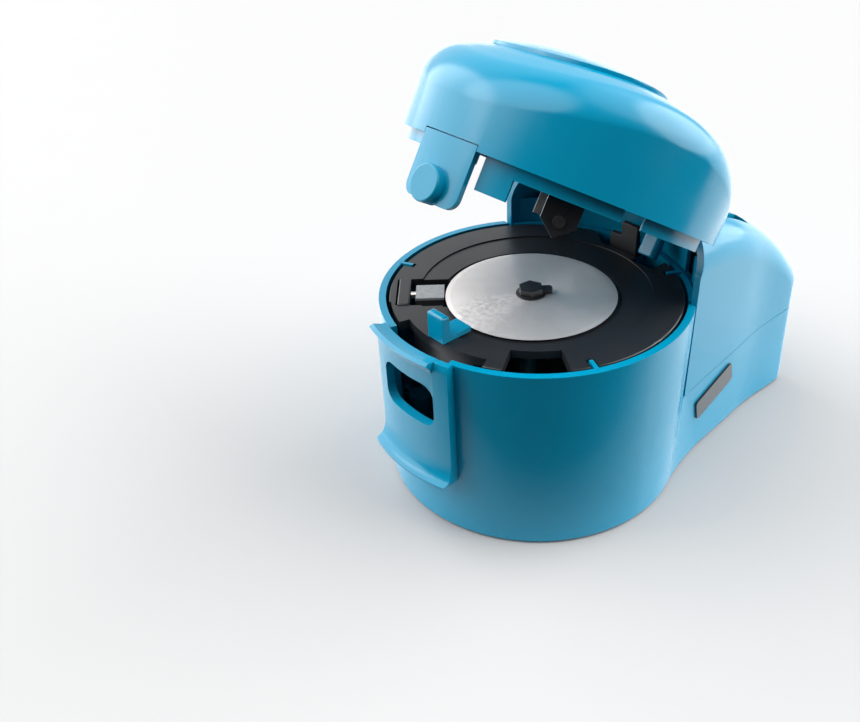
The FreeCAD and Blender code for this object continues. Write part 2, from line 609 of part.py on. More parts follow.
def switch_body():
    x0, x1, y0, y1, z0, z1 = SWITCH
    body = soften(box(x0, x1, y0, y1, z0, z1), 0.4, lambda e: e.BoundBox.XLength > 5)
    return body.cut(box(10.6, 13.4, 33.0, 35.0, z1 - 3.4, z1 + 1))


def switch_plunger():
    return soften(box(10.7, 13.3, 33.1, 34.9, SWITCH[5] - 1.6, SWITCH[5] + 1.5), 0.4,
                  lambda e: e.BoundBox.ZMin > SWITCH[5] + 1.4)


def switch_bracket():
    """Stepped grey bracket beside the lid peg, standing on the rear seat tab in the deck's notch."""
    low = box(-4.4, 5.0, 35.0, 39.0, SEAT_Z + 0.02, SEAT_Z + 1.3)
    upright = box(-0.6, 5.0, 35.0, 36.6, SEAT_Z + 1.0, 60.2)
    step = box(-4.4, -0.5, 35.0, 36.6, SEAT_Z + 1.0, 56.0)
    return soften(union([low, upright, step]), 0.3, lambda e: e.BoundBox.ZMin > 60)


def hinge_pin():
    return soften(cross_rod(2.0, -29.4, 29.4, HINGE_Y, HINGE_Z), 0.4, lambda e: e.BoundBox.XLength < 0.01)


def hinge_spring():
    """Torsion spring coiled round the hinge pin."""
    pitch, turns, coil_r, wire_r = 1.6, 7, 3.1, 0.5
    helix = Part.makeHelix(pitch, pitch * turns, coil_r)
    ring = Part.Wire(Part.makeCircle(wire_r, Vector(coil_r, 0, 0), Y))
    coil = Part.Wire(helix).makePipeShell([ring], True, True)
    coil.rotate(Vector(0, 0, 0), Y, 90)
    coil.translate(Vector(-pitch * turns / 2, HINGE_Y, HINGE_Z))
    return coil


# ---- lid ----------------------------------------------------------------------------------------


def crown_solid(drop):
    """Body under the doubly curved roof of the lid, lowered by drop."""
    r_side, r_cross = CROWN_R_SIDE - drop, CROWN_R_CROSS - drop
    top = CROWN_Z - drop
    centre = Vector(0, CROWN_Y, top - r_side)
    reach = math.radians(70)
    a = centre + Vector(0, -r_side * math.sin(reach), r_side * math.cos(reach))
    b = centre + Vector(0, r_side * math.sin(reach), r_side * math.cos(reach))
    arc = Part.Arc(a, centre + Vector(0, 0, r_side), b).toShape()
    axis_z = top - r_cross
    low = 20.0
    face = Part.Face(Part.Wire([arc, Part.makePolygon([b, Vector(0, b.y, low), Vector(0, a.y, low), a])]))
    face.rotate(Vector(0, 0, axis_z), Y, -30)
    return face.revolve(Vector(0, 0, axis_z), Y, 60)


def lid_body(inset):
    """Closed lid: round drum under the crown, cut behind along an arc about the hinge line."""
    edge = LID_EDGE_R - inset
    body = rod(DRUM_R - inset, 0, 0, LID_RIM - 30, 95).common(crown_solid(inset))
    body = soften(body, edge, lambda e: e.BoundBox.ZMin > 58)
    return body.cut(cross_rod(LID_ARC + inset, -80, 80, HINGE_Y, HINGE_Z))


def lid_shell():
    below = box(-90, 90, -90, 90, -20, LID_RIM)
    shell = lid_body(0.0).cut([below, lid_body(LID_SKIN)])
    bosses = [rod(3.0, x, y, CARRIER_TOP + 0.05, 76.0).common(lid_body(0.8)) for x, y in LID_BOSSES]
    tools = [sector(36, 45, -TONGUE_HALF - 0.2, TONGUE_HALF + 0.2, 40, LID_RIM + 1.45)]
    tools += [rod(1.1, x, y, 50, 64) for x, y in LID_BOSSES]
    tools.append(box(-CARRIER_HALF - 0.3, CARRIER_HALF + 0.3, 18, 40, 50, CARRIER_TOP + 0.3))
    tools += [box(x - 1.8, x + 1.8, 14, 40, 50, 67) for x in ARM_X]
    return opened(cut_all(union([shell] + bosses), tools))


def lid_panel():
    """Raised blank oval on the lid's roof."""
    disc = Part.makeCylinder(1.0, 60, Vector(0, 0, 40))
    grow = FreeCAD.Matrix()
    grow.scale(24.0, 19.0, 1.0)
    column = disc.transformGeometry(grow)
    column.translate(Vector(0, -9.0, 0))
    layer = crown_solid(-0.8).cut(crown_solid(-0.01))
    return opened(layer.common(column))


def lid_liner():
    """Inner ring of the lid with the skirts that drop between deck and wall."""
    upper = sector(LINER_R0, LINER_R1, -118.0, 118.0, 55.6, 58.4)
    ring = sector(LINER_R0, LINER_R1, 14.2, 118.0, LID_RIM + 0.1, 56.0)
    rear_lip = sector(38.95, 39.4, 70.0, 104.0, 50.6, 56.0)
    side = union([ring, rear_lip])
    skirt = sector(LINER_R0, 39.1, 14.2, 25.6, 45.8, 56.0)
    lips = [sector(38.95, 39.4, 25.5, 62.0, 50.7, 56.0), sector(38.95, 39.4, -62.0, -14.2, 50.7, 56.0)]
    return opened(union([upper, side, side.mirror(Vector(0, 0, 0), X), skirt] + lips))


def latch_tongue():
    """Springy tongue at the lid's front with the round button that snaps into the window."""
    wall = sector(BORE_R + 0.1, DRUM_R, -TONGUE_HALF, TONGUE_HALF, 39.5, LID_RIM + 1.2)
    wall = soften(wall, 3.0, lambda e: e.BoundBox.ZMax < 39.6 + 0.1 and e.BoundBox.XLength < 1.5)
    button = Part.makeCylinder(4.4, 6.0, Vector(0, -DRUM_R - 2.2, 43.3), Y)
    button = soften(button, 0.5, lambda e: e.BoundBox.YMax < -DRUM_R - 2.1)
    button = button.cut(rod(BORE_R + 0.3, 0, 0, 30, 60))
    return opened(union([wall, button]))


def lid_carrier():
    """Rear plate inside the lid that links it to the hinge arms; thinner where it enters the cover."""
    thick = box(-CARRIER_HALF, CARRIER_HALF, 12.0, 20.5, CARRIER_LOW, CARRIER_TOP)
    thin = box(-CARRIER_HALF, CARRIER_HALF, 20.0, 33.8, CARRIER_LOW, CARRIER_TOP - 0.4)
    peg_seat = box(7.6, 14.6, 30.0, 36.6, CARRIER_LOW, CARRIER_TOP - 0.4)
    plate = union([thick, thin, peg_seat]).common(rod(38.2, 0, 0, 40, 70))
    tools = [rod(1.4, x, y, 50, 60) for x, y in LID_BOSSES]
    tools += [rod(2.5, x, y, 50, CARRIER_LOW + 1.0) for x, y in LID_BOSSES]
    tools.append(box(-5.4, 7.0, 32.5, 45, 50, 60))
    return opened(cut_all(plate, tools))


def switch_peg():
    peg = soften(box(8.2, 14.2, 32.8, 36.2, 44.6, CARRIER_LOW), 1.5, lambda e: e.BoundBox.ZLength > 5)
    peg = soften(peg, 0.6, lambda e: e.BoundBox.ZMax < 44.7)
    return opened(peg)


def hinge_arm(x):
    """Flat arm from the hinge pin forward and up into the lid."""
    bar = side_profile([(HINGE_Y, 49.6), (HINGE_Y, 58.4), (35.0, 64.2), (19.0, 65.5), (15.0, 61.0), (15.0, 55.3),
                           (26.0, 55.3), (29.0, 57.4), (40.0, 54.6)], 1.5)
    hub = cross_rod(4.4, -1.5, 1.5, HINGE_Y, HINGE_Z)
    arm = union([bar, hub]).cut(cross_rod(2.06, -5, 5, HINGE_Y, HINGE_Z))
    arm.translate(Vector(x, 0, 0))
    return opened(arm)


def lid_screws():
    """Screws sunk into the carrier, so that the closed lid clears the blade."""
    return opened(Part.makeCompound([screw(x, y, CARRIER_LOW + 0.95, 0.9, 2.3, 1.0, 7.0) for x, y in LID_BOSSES]))


# ---- upper stone --------------------------------------------------------------------------------


def upper_bracket():
    """Five-sided bracket plate hanging from the lid's ring, with two ears for the stone's pin."""
    outline = [(-4.2, 60.0), (-4.2, 45.7), (0.0, 42.2), (4.2, 45.7), (4.2, 60.0)]
    points = [Vector(x, -34.6, z) for x, z in outline + outline[:1]]
    plate = Part.Face(Part.makePolygon(points)).extrude(Vector(0, 1.2, 0))
    ears = [box(s * 3.7 - 0.5, s * 3.7 + 0.5, -33.6, -28.8, 55.6, 60.0) for s in (-1, 1)]
    flange = box(-4.2, 4.2, -38.6, -33.4, 58.8, 60.0)
    bracket = union([plate, flange] + ears)
    tools = [cross_rod(0.82, -8, 8, -31.0, 57.0), front_rod(1.05, -40, -20, 46.0)]
    return opened(at_angle(cut_all(bracket, tools), UPPER_ANGLE))


def bracket_rivet():
    shank = front_rod(1.0, -34.7, -33.3, 46.0)
    heads = [front_rod(1.4, -35.2, -34.62, 46.0), front_rod(1.4, -33.38, -32.8, 46.0)]
    return opened(at_angle(union([shank] + heads), UPPER_ANGLE))


def spring_leaf():
    """Thin steel leaf beside the bracket."""
    leaf = box(-6.0, -4.5, -34.3, -33.9, 46.0, 58.8)
    foot = box(-6.0, -4.2, -38.4, -33.9, 58.8, 59.2)
    return opened(at_angle(union([leaf, foot]), UPPER_ANGLE))


def upper_stone_pin():
    return opened(at_angle(cross_rod(0.8, -4.6, 4.6, -31.0, 57.0), UPPER_ANGLE))


def upper_stone_holder():
    block = box(-3.0, 3.0, -32.6, -23.8, 55.3, 58.4)
    return opened(at_angle(block.cut(cross_rod(0.86, -8, 8, -31.0, 57.0)), UPPER_ANGLE))


def upper_stone():
    return opened(at_angle(box(-3.4, 3.4, -31.4, -23.4, 53.5, 55.3), UPPER_ANGLE))


def main():
    os.makedirs("parts", exist_ok=True)
    makers = [lower_shell, rear_cover, baffle, base_plate, rubber_feet, base_screws, deck, deck_screws, badge,
              latch_plate, latch_backing, size_slider, lower_stone_block, lower_stone_shaft, lower_stone_carrier,
              lower_stone, spindle_gear, idler_gear, motor_pinion, motor_shaft, spindle_shaft, magnet, blade,
              centre_post, gear_frame, idler_axle, motor, motor_cap, motor_screws, circuit_board, board_parts,
              dc_socket, switch_body, switch_plunger, switch_bracket, hinge_pin, hinge_spring, lid_shell,
              lid_panel, lid_liner, latch_tongue, lid_carrier, switch_peg, lid_screws, upper_bracket,
              bracket_rivet, spring_leaf, upper_stone_pin, upper_stone_holder, upper_stone]
    for make in makers:
        save(make.__name__, make())
    save("upper_bearing", spindle_bearing(40.5, 49.4, 4.5))
    save("lower_bearing", spindle_bearing(12.0, 18.0, 4.2))
    save("hinge_arm_left", hinge_arm(ARM_X[0]))
    save("hinge_arm_right", hinge_arm(ARM_X[1]))


main()
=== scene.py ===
"""Looks for the sharpener for round blades: materials, soft edges, finer pieces, light and camera.

Metres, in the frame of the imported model.  The CAD nodes stay where they are; they get rounded
edges from modifiers and procedural materials, and the blade and the lid's shell are replaced by
more detailed meshes.
"""

import json
import math

import bmesh
import bpy
from mathutils import Matrix, Vector


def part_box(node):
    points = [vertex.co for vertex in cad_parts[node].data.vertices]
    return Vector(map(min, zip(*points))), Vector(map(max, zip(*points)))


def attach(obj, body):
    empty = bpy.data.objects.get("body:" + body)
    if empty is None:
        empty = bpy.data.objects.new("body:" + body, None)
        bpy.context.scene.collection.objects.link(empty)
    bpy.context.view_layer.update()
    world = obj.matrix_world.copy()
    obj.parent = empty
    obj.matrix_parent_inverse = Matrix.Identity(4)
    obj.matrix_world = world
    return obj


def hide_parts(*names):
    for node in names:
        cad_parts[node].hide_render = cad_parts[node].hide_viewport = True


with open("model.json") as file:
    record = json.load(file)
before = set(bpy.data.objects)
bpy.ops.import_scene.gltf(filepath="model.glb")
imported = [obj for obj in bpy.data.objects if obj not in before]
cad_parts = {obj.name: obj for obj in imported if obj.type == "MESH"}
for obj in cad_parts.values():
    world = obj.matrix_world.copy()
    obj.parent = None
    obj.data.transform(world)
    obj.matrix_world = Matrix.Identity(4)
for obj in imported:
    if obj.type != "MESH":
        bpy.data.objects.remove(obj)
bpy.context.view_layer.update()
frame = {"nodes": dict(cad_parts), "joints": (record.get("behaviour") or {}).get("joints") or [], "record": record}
NODES = frame["nodes"]
MM = 0.001
SAME_POINT = 0.002 * MM         # vertices closer than this are one vertex


# ---- shader building blocks ---------------------------------------------------------------------
class Shader:
    """A new material with its principled shader and a few short ways to add nodes."""

    def __init__(self, name, roughness, metallic=0.0, specular=0.5):
        self.material = bpy.data.materials.new(name)
        self.material.use_nodes = True
        self.tree = self.material.node_tree
        self.surface = self.tree.nodes["Principled BSDF"]
        self.set("Roughness", roughness)
        self.set("Metallic", metallic)
        self.set("Specular IOR Level", specular)
        self.place = self.tree.nodes.new("ShaderNodeTexCoord").outputs["Object"]

    def set(self, socket, value):
        self.surface.inputs[socket].default_value = value

    def link(self, output, socket):
        self.tree.links.new(output, self.surface.inputs[socket])

    def noise(self, per_metre, detail=2.0, stretch=None):
        """Noise from 0 to 1; stretch scales the coordinates along X, Y and Z."""
        node = self.tree.nodes.new("ShaderNodeTexNoise")
        node.inputs["Scale"].default_value = per_metre
        node.inputs["Detail"].default_value = detail
        source = self.place
        if stretch:
            mapping = self.tree.nodes.new("ShaderNodeMapping")
            mapping.inputs["Scale"].default_value = stretch
            self.tree.links.new(source, mapping.inputs["Vector"])
            source = mapping.outputs["Vector"]
        self.tree.links.new(source, node.inputs["Vector"])
        return node.outputs["Fac"]

    def remap(self, output, low, high, from_low=0.3, from_high=0.7):
        node = self.tree.nodes.new("ShaderNodeMapRange")
        node.inputs["From Min"].default_value = from_low
        node.inputs["From Max"].default_value = from_high
        node.inputs["To Min"].default_value = low
        node.inputs["To Max"].default_value = high
        self.tree.links.new(output, node.inputs["Value"])
        return node.outputs["Result"]

    def colours(self, output, first, second, from_low=0.3, from_high=0.7):
        """Colour that runs from first to second with the value."""
        ramp = self.tree.nodes.new("ShaderNodeValToRGB")
        ramp.color_ramp.elements[0].position = from_low
        ramp.color_ramp.elements[0].color = (*first, 1.0)
        ramp.color_ramp.elements[1].position = from_high
        ramp.color_ramp.elements[1].color = (*second, 1.0)
        self.tree.links.new(output, ramp.inputs["Fac"])
        self.link(ramp.outputs["Color"], "Base Color")

    def rough(self, output, low, high):
        self.link(self.remap(output, low, high), "Roughness")

    def bump(self, layers):
        """Relief from (height output, depth in metres) pairs, laid one over another."""
        normal = None
        for output, depth in layers:
            node = self.tree.nodes.new("ShaderNodeBump")
            node.inputs["Distance"].default_value = depth
            node.inputs["Strength"].default_value = 1.0
            self.tree.links.new(output, node.inputs["Height"])
            if normal:
                self.tree.links.new(normal, node.inputs["Normal"])
            normal = node.outputs["Normal"]
        self.link(normal, "Normal")


# ---- materials ----------------------------------------------------------------------------------
# sizes of surface detail, in features per metre
CLOUDS, FLOW_MARKS, HANDLING, SPARK_GRAIN = 45.0, 70.0, 120.0, 2600.0
METAL_STAIN, METAL_WEAR, METAL_GRAIN = 260.0, 900.0, 5200.0
ABRASIVE, ABRASIVE_PITS = 4200.0, 5200.0
COPPER_RUNS, MASK_SHEEN, GLASS_WEAVE = 320.0, 700.0, 2400.0
RUBBER_TONE, RUBBER_WEAR, RUBBER_GRAIN = 600.0, 900.0, 3200.0
COAT_ROUGHNESS = 0.08
QUARTER_TURN = 0.25             # the shader counts turns


def moulded_plastic(name, colour, darker, roughness, grain, coat=0.0, specular=0.5):
    """Moulded plastic: fine spark-eroded grain, faint flow marks and handling marks."""
    shader = Shader(name, roughness, specular=specular)
    shader.colours(shader.noise(CLOUDS, 4.0), darker, colour)
    shader.rough(shader.noise(HANDLING, 5.0), roughness - 0.05, roughness + 0.06)
    shader.bump([(shader.noise(SPARK_GRAIN, 3.0), grain), (shader.noise(FLOW_MARKS, 2.0), grain * 2.0)])
    shader.set("Coat Weight", coat)
    shader.set("Coat Roughness", COAT_ROUGHNESS)
    return shader.material


def turned_metal(name, colour, darker, roughness, spin=0.0, metallic=1.0, relief=2e-6):
    """Metal with a fine grain; spin stretches its highlights outward, as fine circular scratches do."""
    shader = Shader(name, roughness, metallic=metallic)
    shader.colours(shader.noise(METAL_STAIN, 6.0), darker, colour)
    shader.rough(shader.noise(METAL_WEAR, 5.0), roughness - 0.06, roughness + 0.08)
    shader.bump([(shader.noise(METAL_GRAIN, 2.0), relief)])
    if spin:
        shader.set("Anisotropic", spin)
        shader.set("Anisotropic Rotation", QUARTER_TURN)
        tangent = shader.tree.nodes.new("ShaderNodeTangent")
        tangent.direction_type = "RADIAL"
        tangent.axis = "Z"
        shader.link(tangent.outputs["Tangent"], "Tangent")
    return shader.material


def sharpening_stone(name):
    """Bonded abrasive: mid-grey matrix full of darker grains and pits."""
    shader = Shader(name, 0.9, specular=0.25)
    shader.colours(shader.noise(ABRASIVE, 4.0), (0.24, 0.25, 0.26), (0.42, 0.43, 0.44), 0.38, 0.64)
    shader.bump([(shader.noise(ABRASIVE_PITS, 4.0), 2.5e-5)])
    return shader.material


def circuit_laminate(name):
    """Solder-masked board with the weave of its glass cloth and faint copper runs."""
    shader = Shader(name, 0.35)
    runs = shader.noise(COPPER_RUNS, 1.0, (1.0, 1.0, 5.0))
    shader.colours(runs, (0.010, 0.080, 0.035), (0.018, 0.150, 0.060))
    shader.rough(shader.noise(MASK_SHEEN, 2.0), 0.28, 0.42)
    shader.bump([(shader.noise(GLASS_WEAVE, 1.0), 1.2e-5)])
    return shader.material


def soft_rubber(name):
    """Matt black rubber with a slight grain."""
    shader = Shader(name, 0.82, specular=0.3)
    shader.colours(shader.noise(RUBBER_TONE, 4.0), (0.012, 0.012, 0.013), (0.024, 0.024, 0.026))
    shader.rough(shader.noise(RUBBER_WEAR, 3.0), 0.74, 0.9)
    shader.bump([(shader.noise(RUBBER_GRAIN, 3.0), 2.5e-5)])
    return shader.material


BLUE, BLUE_DEEP = (0.0, 0.272, 0.455), (0.0, 0.262, 0.440)
# one material for each material slot of the record
MATERIALS = {
    "shell_plastic": moulded_plastic("blue_shell", BLUE, BLUE_DEEP, 0.20, 4e-6, coat=0.1, specular=0.42),
    "deck_plastic": moulded_plastic("black_deck", (0.020, 0.022, 0.026), (0.015, 0.017, 0.020), 0.34, 1.0e-5),
    "dark_plastic": moulded_plastic("grey_parts", (0.045, 0.047, 0.051), (0.034, 0.036, 0.039), 0.46, 1.6e-5),
    "badge_black": moulded_plastic("gloss_plate", (0.006, 0.006, 0.007), (0.005, 0.005, 0.006), 0.16, 3e-6,
                                   coat=0.5),
    "white_plastic": moulded_plastic("acetal", (0.72, 0.72, 0.69), (0.66, 0.66, 0.63), 0.42, 8e-6),
    "steel": turned_metal("plain_steel", (0.58, 0.58, 0.59), (0.50, 0.50, 0.51), 0.34),
    "bright_steel": turned_metal("ground_steel", (0.78, 0.77, 0.76), (0.72, 0.71, 0.70), 0.22),
    "zinc_screw": turned_metal("zinc", (0.66, 0.66, 0.63), (0.55, 0.55, 0.52), 0.32),
    "motor_can": turned_metal("plated_can", (0.62, 0.62, 0.61), (0.52, 0.52, 0.51), 0.30),
    "bronze": turned_metal("sintered_bronze", (0.50, 0.33, 0.16), (0.40, 0.25, 0.11), 0.42),
    "magnet_metal": turned_metal("nickel", (0.58, 0.57, 0.55), (0.52, 0.51, 0.49), 0.26),
    "stone": sharpening_stone("abrasive_stone"),
    "rubber": soft_rubber("foot_rubber"),
    "board": circuit_laminate("board_laminate"),
}
BLADE_STEEL = turned_metal("blade_steel", (0.95, 0.91, 0.89), (0.90, 0.86, 0.84), 0.34,
                           spin=0.80, metallic=0.62, relief=2e-7)
# nodes that don't take their slot's material
OWN_MATERIAL = {"bracket_rivet": turned_metal("dark_rivet", (0.16, 0.16, 0.17), (0.11, 0.11, 0.12), 0.38)}


# ---- soft edges and materials on the CAD nodes --------------------------------------------------
# width of the rounded edges in millimetres, for each slot that isn't thin metal
EDGE_WIDTH = {"shell_plastic": 0.35, "deck_plastic": 0.2, "dark_plastic": 0.2, "white_plastic": 0.08,
              "badge_black": 0.15, "motor_can": 0.3, "stone": 0.15, "rubber": 0.2}
THIN_EDGE = 0.08
SHARP = math.radians(32)        # edges that turn by less than this are smooth already


def paint(piece, material):
    piece.data.materials.clear()
    piece.data.materials.append(material)


def soft_edges(piece, width_mm):
    """Round every sharp edge a little and shade the rest smooth."""
    normals = piece.data.attributes.get("custom_normal")
    if normals:
        piece.data.attributes.remove(normals)
    piece.data.shade_smooth()
    weld = piece.modifiers.new("weld", "WELD")
    weld.merge_threshold = SAME_POINT
    bevel = piece.modifiers.new("bevel", "BEVEL")
    bevel.width = width_mm * MM
    bevel.segments = 2
    bevel.limit_method = "ANGLE"
    bevel.angle_limit = SHARP
    bevel.use_clamp_overlap = True
    bevel.miter_outer = "MITER_ARC"
    weighted = piece.modifiers.new("normals", "WEIGHTED_NORMAL")
    weighted.keep_sharp = False
    weighted.weight = 100


def dress_nodes():
    """Give every CAD node its material and its soft edges."""
    for subpart in frame["record"]["subparts"]:
        node = NODES[subpart["node"]]
        paint(node, OWN_MATERIAL.get(subpart["node"], MATERIALS[subpart["material_slot"]]))
        soft_edges(node, EDGE_WIDTH.get(subpart["material_slot"], THIN_EDGE))


# ---- pieces that replace CAD nodes --------------------------------------------------------------
def mesh_object(name, mesh):
    """Object in the scene with that mesh, which is used up."""
    piece = bpy.data.objects.new(name, bpy.data.meshes.new(name))
    bpy.context.scene.collection.objects.link(piece)
    mesh.to_mesh(piece.data)
    mesh.free()
    return piece


def add_mesh(name, mesh, body, material):
    """Piece of the object that rides on a body."""
    piece = mesh_object(name, mesh)
    piece.data.shade_smooth()
    paint(piece, material)
    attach(piece, body)
    return piece


def lathe(profile, centre, steps):
    """Solid of revolution about the upright axis through centre; profile is a closed (radius, z) loop."""
    mesh = bmesh.new()
    rings = []
    for k in range(steps):
        turn = 2 * math.pi * k / steps
        rings.append([mesh.verts.new((centre.x + r * math.cos(turn), centre.y + r * math.sin(turn), z))
                      for r, z in profile])
    for k in range(steps):
        near, far = rings[k], rings[(k + 1) % steps]
        for i in range(len(profile)):
            j = (i + 1) % len(profile)
            mesh.faces.new((near[i], far[i], far[j], near[j]))
    bmesh.ops.recalc_face_normals(mesh, faces=mesh.faces)
    return mesh


# the blade: radius of its hole, width of its bevels, half the thickness left at the very edge
HOLE, GRIND, FLAT = 4.0 * MM, 1.3 * MM, 0.03 * MM
BLADE_STEPS = 192
BLADE_CREASE = math.radians(4)


def blade():
    """Round blade with a ground cutting edge, in place of the plain disc."""
    low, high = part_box("blade")
    centre, radius = (low + high) / 2, (high.x - low.x) / 2
    profile = [(HOLE, low.z), (HOLE, high.z), (radius - GRIND, high.z),
               (radius, centre.z + FLAT), (radius, centre.z - FLAT), (radius - GRIND, low.z)]
    disc = lathe(profile, centre, BLADE_STEPS)
    piece = add_mesh("ground_blade", disc, "spindle", BLADE_STEEL)
    edge = piece.modifiers.new("crisp", "EDGE_SPLIT")
    edge.split_angle = BLADE_CREASE
    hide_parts("blade")


# the shut lid: radius of its wall, how far the envelope reaches down, and the wide rounding
LID_RADIUS, LID_LOW, LID_ROUNDING = 41.5 * MM, 40.0 * MM, 6.0 * MM
# its crown: highest point, the arc from front to back, and the arc across that sweeps it
CROWN_TOP, CROWN_Y, CROWN_SIDE, CROWN_CROSS = 81.9 * MM, -9.5 * MM, 46.0 * MM, 117.0 * MM
CROWN_REACH = 43.0 * MM         # the arc from front to back ends this far from its middle
HAIR = 0.03 * MM                # the envelope stays this far outside wherever it must not cut
ENVELOPE_STEPS, CROWN_RINGS, ROUNDING_RINGS = 160, 10, 8


def opening_of_lid():
    """Matrix that takes a point of the shut lid to its place in the open lid, as stored."""
    hinge = next(joint for joint in frame["joints"] if joint["name"] == "lid_hinge")
    line, angle = Vector(hinge["pos_m"]), math.radians(hinge["range_deg"][1])
    return Matrix.Translation(line) @ Matrix.Rotation(-angle, 4, "X") @ Matrix.Translation(-line)


def crown_height(x, y):
    """Height of the shut lid's crown: a side arc swept about a longer arc across."""
    along = min(abs(y - CROWN_Y), CROWN_REACH)
    ridge = CROWN_TOP - CROWN_SIDE + math.sqrt(CROWN_SIDE ** 2 - along ** 2)
    axis = CROWN_TOP - CROWN_CROSS
    return axis + math.sqrt((ridge - axis) ** 2 - x ** 2)


def rounding_profile():
    """Radius and drop below the crown of each ring, from near the middle out to the wall."""
    wall = LID_RADIUS + HAIR
    flat = wall - LID_ROUNDING
    profile = [(flat * k / CROWN_RINGS, 0.0) for k in range(1, CROWN_RINGS)]
    for k in range(ROUNDING_RINGS + 1):
        turn = math.pi / 2 * k / ROUNDING_RINGS
        profile.append((wall - LID_ROUNDING * (1 - math.sin(turn)), LID_ROUNDING * (1 - math.cos(turn))))
    return profile


def lid_envelope():
    """Body under the crown and inside the wall, with a wide rounding between them, opened like the lid."""
    mesh = bmesh.new()
    to_open = opening_of_lid()

    def point(x, y, z):
        return mesh.verts.new(to_open @ Vector((x, y, z)))

    profile = rounding_profile()
    turns = [2 * math.pi * k / ENVELOPE_STEPS for k in range(ENVELOPE_STEPS)]
    rings = []
    for radius, drop in profile:
        spots = [(radius * math.cos(turn), radius * math.sin(turn)) for turn in turns]
        rings.append([point(x, y, crown_height(x, y) + HAIR - drop) for x, y in spots])
    wall = profile[-1][0]
    rings.append([point(wall * math.cos(turn), wall * math.sin(turn), LID_LOW) for turn in turns])
    peak = point(0.0, 0.0, crown_height(0.0, 0.0) + HAIR)
    for k in range(ENVELOPE_STEPS):
        after = (k + 1) % ENVELOPE_STEPS
        mesh.faces.new((peak, rings[0][k], rings[0][after]))
        for inner, outer in zip(rings, rings[1:]):
            mesh.faces.new((inner[k], outer[k], outer[after], inner[after]))
    mesh.faces.new(list(reversed(rings[-1])))
    bmesh.ops.recalc_face_normals(mesh, faces=mesh.faces)
    return mesh


def rounded_lid():
    """Lid shell with a wide rounding between wall and crown, in place of the one with a sharp shoulder."""
    sharp = bmesh.new()
    sharp.from_mesh(NODES["lid_shell"].data)
    bmesh.ops.remove_doubles(sharp, verts=sharp.verts, dist=SAME_POINT)
    lid, envelope = mesh_object("sharp_lid", sharp), mesh_object("lid_envelope", lid_envelope())
    trim = lid.modifiers.new("trim", "BOOLEAN")
    trim.operation = "INTERSECT"
    trim.solver = "EXACT"
    trim.object = envelope
    trimmed = bmesh.new()
    trimmed.from_object(lid, bpy.context.evaluated_depsgraph_get())
    bpy.data.objects.remove(lid)
    bpy.data.objects.remove(envelope)
    piece = add_mesh("rounded_lid", trimmed, "lid", MATERIALS["shell_plastic"])
    soft_edges(piece, EDGE_WIDTH["shell_plastic"])
    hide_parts("lid_shell")


# ---- floor, light and camera --------------------------------------------------------------------
FRONT_RIGHT = (0.79, -0.61, 0.0)                # level direction from the object to the viewer
FLOOR_REACH, FLOOR_SHEEN = 8.0, 30.0            # metres each way, and features of its sheen per metre
FLOOR_COLOUR = (0.475, 0.475, 0.477)            # as the camera sees it
# painted light and painted shade on the floor that only the object sees: bright behind and beside it, dark towards
# the front right
FLOOR_PAINTED_LIGHT, FLOOR_PAINTED_SHADE, FLOOR_FADE = 0.85, 0.03, (0.03, 0.07)   # as the object sees it, and where it fades
AMBIENT, BACKDROP = 0.04, 0.93                  # sky outside the panels, and as the camera sees it
# direction, brightness, and the cosines at which each soft panel of sky is full and gone
PANELS = [((-0.87, -0.42, 0.28), 3.0, (0.82, 0.76)),
          ((0.56, 0.83, 0.28), 3.8, (0.82, 0.74)),
          ((-0.25, -0.45, 0.90), 2.6, (0.90, 0.80)),
          ((-0.79, 0.61, 0.30), 0.9, (0.86, 0.60)),
          ((0.35, 0.60, 0.75), 1.6, (0.90, 0.75))]


def painted_floor_bounce(shader):
    """Painted floor light and shade as the object sees it: bright behind and beside it, painted dark towards the
    front right, so that the object's side facing the viewer gets painted shade and dark painted reflections.
    """
    along = shader.tree.nodes.new("ShaderNodeVectorMath")
    along.operation = "DOT_PRODUCT"
    along.inputs[1].default_value = FRONT_RIGHT
    shader.tree.links.new(shader.place, along.inputs[0])
    return shader.remap(along.outputs["Value"], FLOOR_PAINTED_LIGHT, FLOOR_PAINTED_SHADE, FLOOR_FADE[0], FLOOR_FADE[1])


def floor():
    """Pale floor; only the camera sees its plain shader, all else sees the one with painted light and painted
    shade.
    """
    corners = [(-FLOOR_REACH, -FLOOR_REACH), (FLOOR_REACH, -FLOOR_REACH),
               (FLOOR_REACH, FLOOR_REACH), (-FLOOR_REACH, FLOOR_REACH)]
    mesh = bmesh.new()
    mesh.faces.new([mesh.verts.new((x, y, 0.0)) for x, y in corners])
    plane = mesh_object("floor", mesh)
    shader = Shader("pale_floor", 0.75, specular=0.2)
    shader.set("Base Color", (*FLOOR_COLOUR, 1.0))
    shader.rough(shader.noise(FLOOR_SHEEN, 2.0), 0.72, 0.78)
    tree = shader.tree
    # painted light and painted shade: the floor as all but the camera see it, dark towards the front right
    painted_floor_shader = tree.nodes.new("ShaderNodeBsdfDiffuse")
    tree.links.new(painted_floor_bounce(shader), painted_floor_shader.inputs["Color"])
    choose = tree.nodes.new("ShaderNodeMixShader")
    seen = tree.nodes.new("ShaderNodeLightPath").outputs["Is Camera Ray"]
    tree.links.new(seen, choose.inputs["Fac"])
    tree.links.new(painted_floor_shader.outputs["BSDF"], choose.inputs[1])
    tree.links.new(shader.surface.outputs["BSDF"], choose.inputs[2])
    tree.links.new(choose.outputs["Shader"], tree.nodes["Material Output"].inputs["Surface"])
    paint(plane, shader.material)


CAMERA_AZIMUTH, CAMERA_PITCH, CAMERA_ROLL = 52.3, 34.34, -3.33  # degrees
CAMERA_PLACE = (0.14643, -0.14966, 0.17328)
FOCAL_LENGTH, SENSOR_WIDTH = 37.6744, 36.0      # millimetres


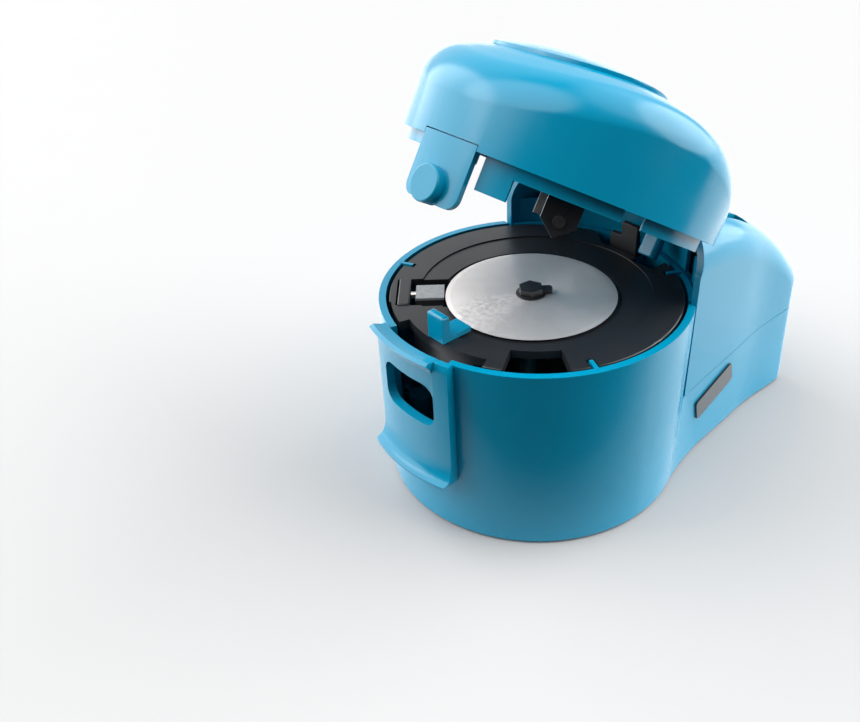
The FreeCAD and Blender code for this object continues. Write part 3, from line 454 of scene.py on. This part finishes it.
def camera():
    """Camera at the height and angle of a desk view from the front right."""
    pitch, roll = math.radians(CAMERA_PITCH), math.radians(CAMERA_ROLL)
    ahead = Vector((0.0, math.cos(pitch), -math.sin(pitch)))
    side, down = Vector((1.0, 0.0, 0.0)), Vector((0.0, -math.sin(pitch), -math.cos(pitch)))
    right = side * math.cos(roll) - down * math.sin(roll)
    up = -(side * math.sin(roll) + down * math.cos(roll))
    axes = Matrix((right, up, -ahead)).transposed()
    lens = bpy.data.cameras.new("camera")
    lens.sensor_width = SENSOR_WIDTH
    lens.lens = FOCAL_LENGTH
    lens.clip_start, lens.clip_end = 0.01, 50.0
    eye = bpy.data.objects.new("camera", lens)
    turn = Matrix.Rotation(math.radians(CAMERA_AZIMUTH), 3, "Z") @ axes
    eye.matrix_world = Matrix.Translation(CAMERA_PLACE) @ turn.to_4x4()
    bpy.context.scene.collection.objects.link(eye)
    bpy.context.scene.camera = eye


def sky_panel(tree, direction, towards, inner, outer):
    """1 inside a soft round panel of sky in that direction, 0 outside."""
    aim = tree.nodes.new("ShaderNodeVectorMath")
    aim.operation = "DOT_PRODUCT"
    aim.inputs[1].default_value = Vector(towards).normalized()
    tree.links.new(direction, aim.inputs[0])
    fade = tree.nodes.new("ShaderNodeMapRange")
    fade.interpolation_type = "SMOOTHSTEP"
    fade.inputs["From Min"].default_value = outer
    fade.inputs["From Max"].default_value = inner
    tree.links.new(aim.outputs["Value"], fade.inputs["Value"])
    return fade.outputs["Result"]


def surroundings():
    """White studio: bright soft panels at both sides, behind and overhead, dark towards the viewer."""
    world = bpy.data.worlds.new("studio")
    world.use_nodes = True
    bpy.context.scene.world = world
    tree = world.node_tree
    tree.nodes.clear()
    direction = tree.nodes.new("ShaderNodeTexCoord").outputs["Generated"]
    start = tree.nodes.new("ShaderNodeValue")
    level = start.outputs["Value"]
    level.default_value = AMBIENT
    for towards, brightness, (inner, outer) in PANELS:
        add = tree.nodes.new("ShaderNodeMath")
        add.operation = "MULTIPLY_ADD"
        tree.links.new(sky_panel(tree, direction, towards, inner, outer), add.inputs[0])
        add.inputs[1].default_value = brightness
        tree.links.new(level, add.inputs[2])
        level = add.outputs["Value"]
    seen = tree.nodes.new("ShaderNodeLightPath").outputs["Is Camera Ray"]
    choose = tree.nodes.new("ShaderNodeMix")
    choose.inputs["B"].default_value = BACKDROP
    tree.links.new(seen, choose.inputs["Factor"])
    tree.links.new(level, choose.inputs["A"])
    background = tree.nodes.new("ShaderNodeBackground")
    background.inputs["Color"].default_value = (1.0, 1.0, 1.0, 1.0)
    tree.links.new(choose.outputs["Result"], background.inputs["Strength"])
    output = tree.nodes.new("ShaderNodeOutputWorld")
    tree.links.new(background.outputs["Background"], output.inputs["Surface"])


def colour_settings():
    """Plain colours, with no film look."""
    view = bpy.context.scene.view_settings
    view.view_transform = "Standard"
    view.look = "None"
    view.exposure = 0.0


dress_nodes()
blade()
rounded_lid()
floor()
surroundings()
camera()
colour_settings()
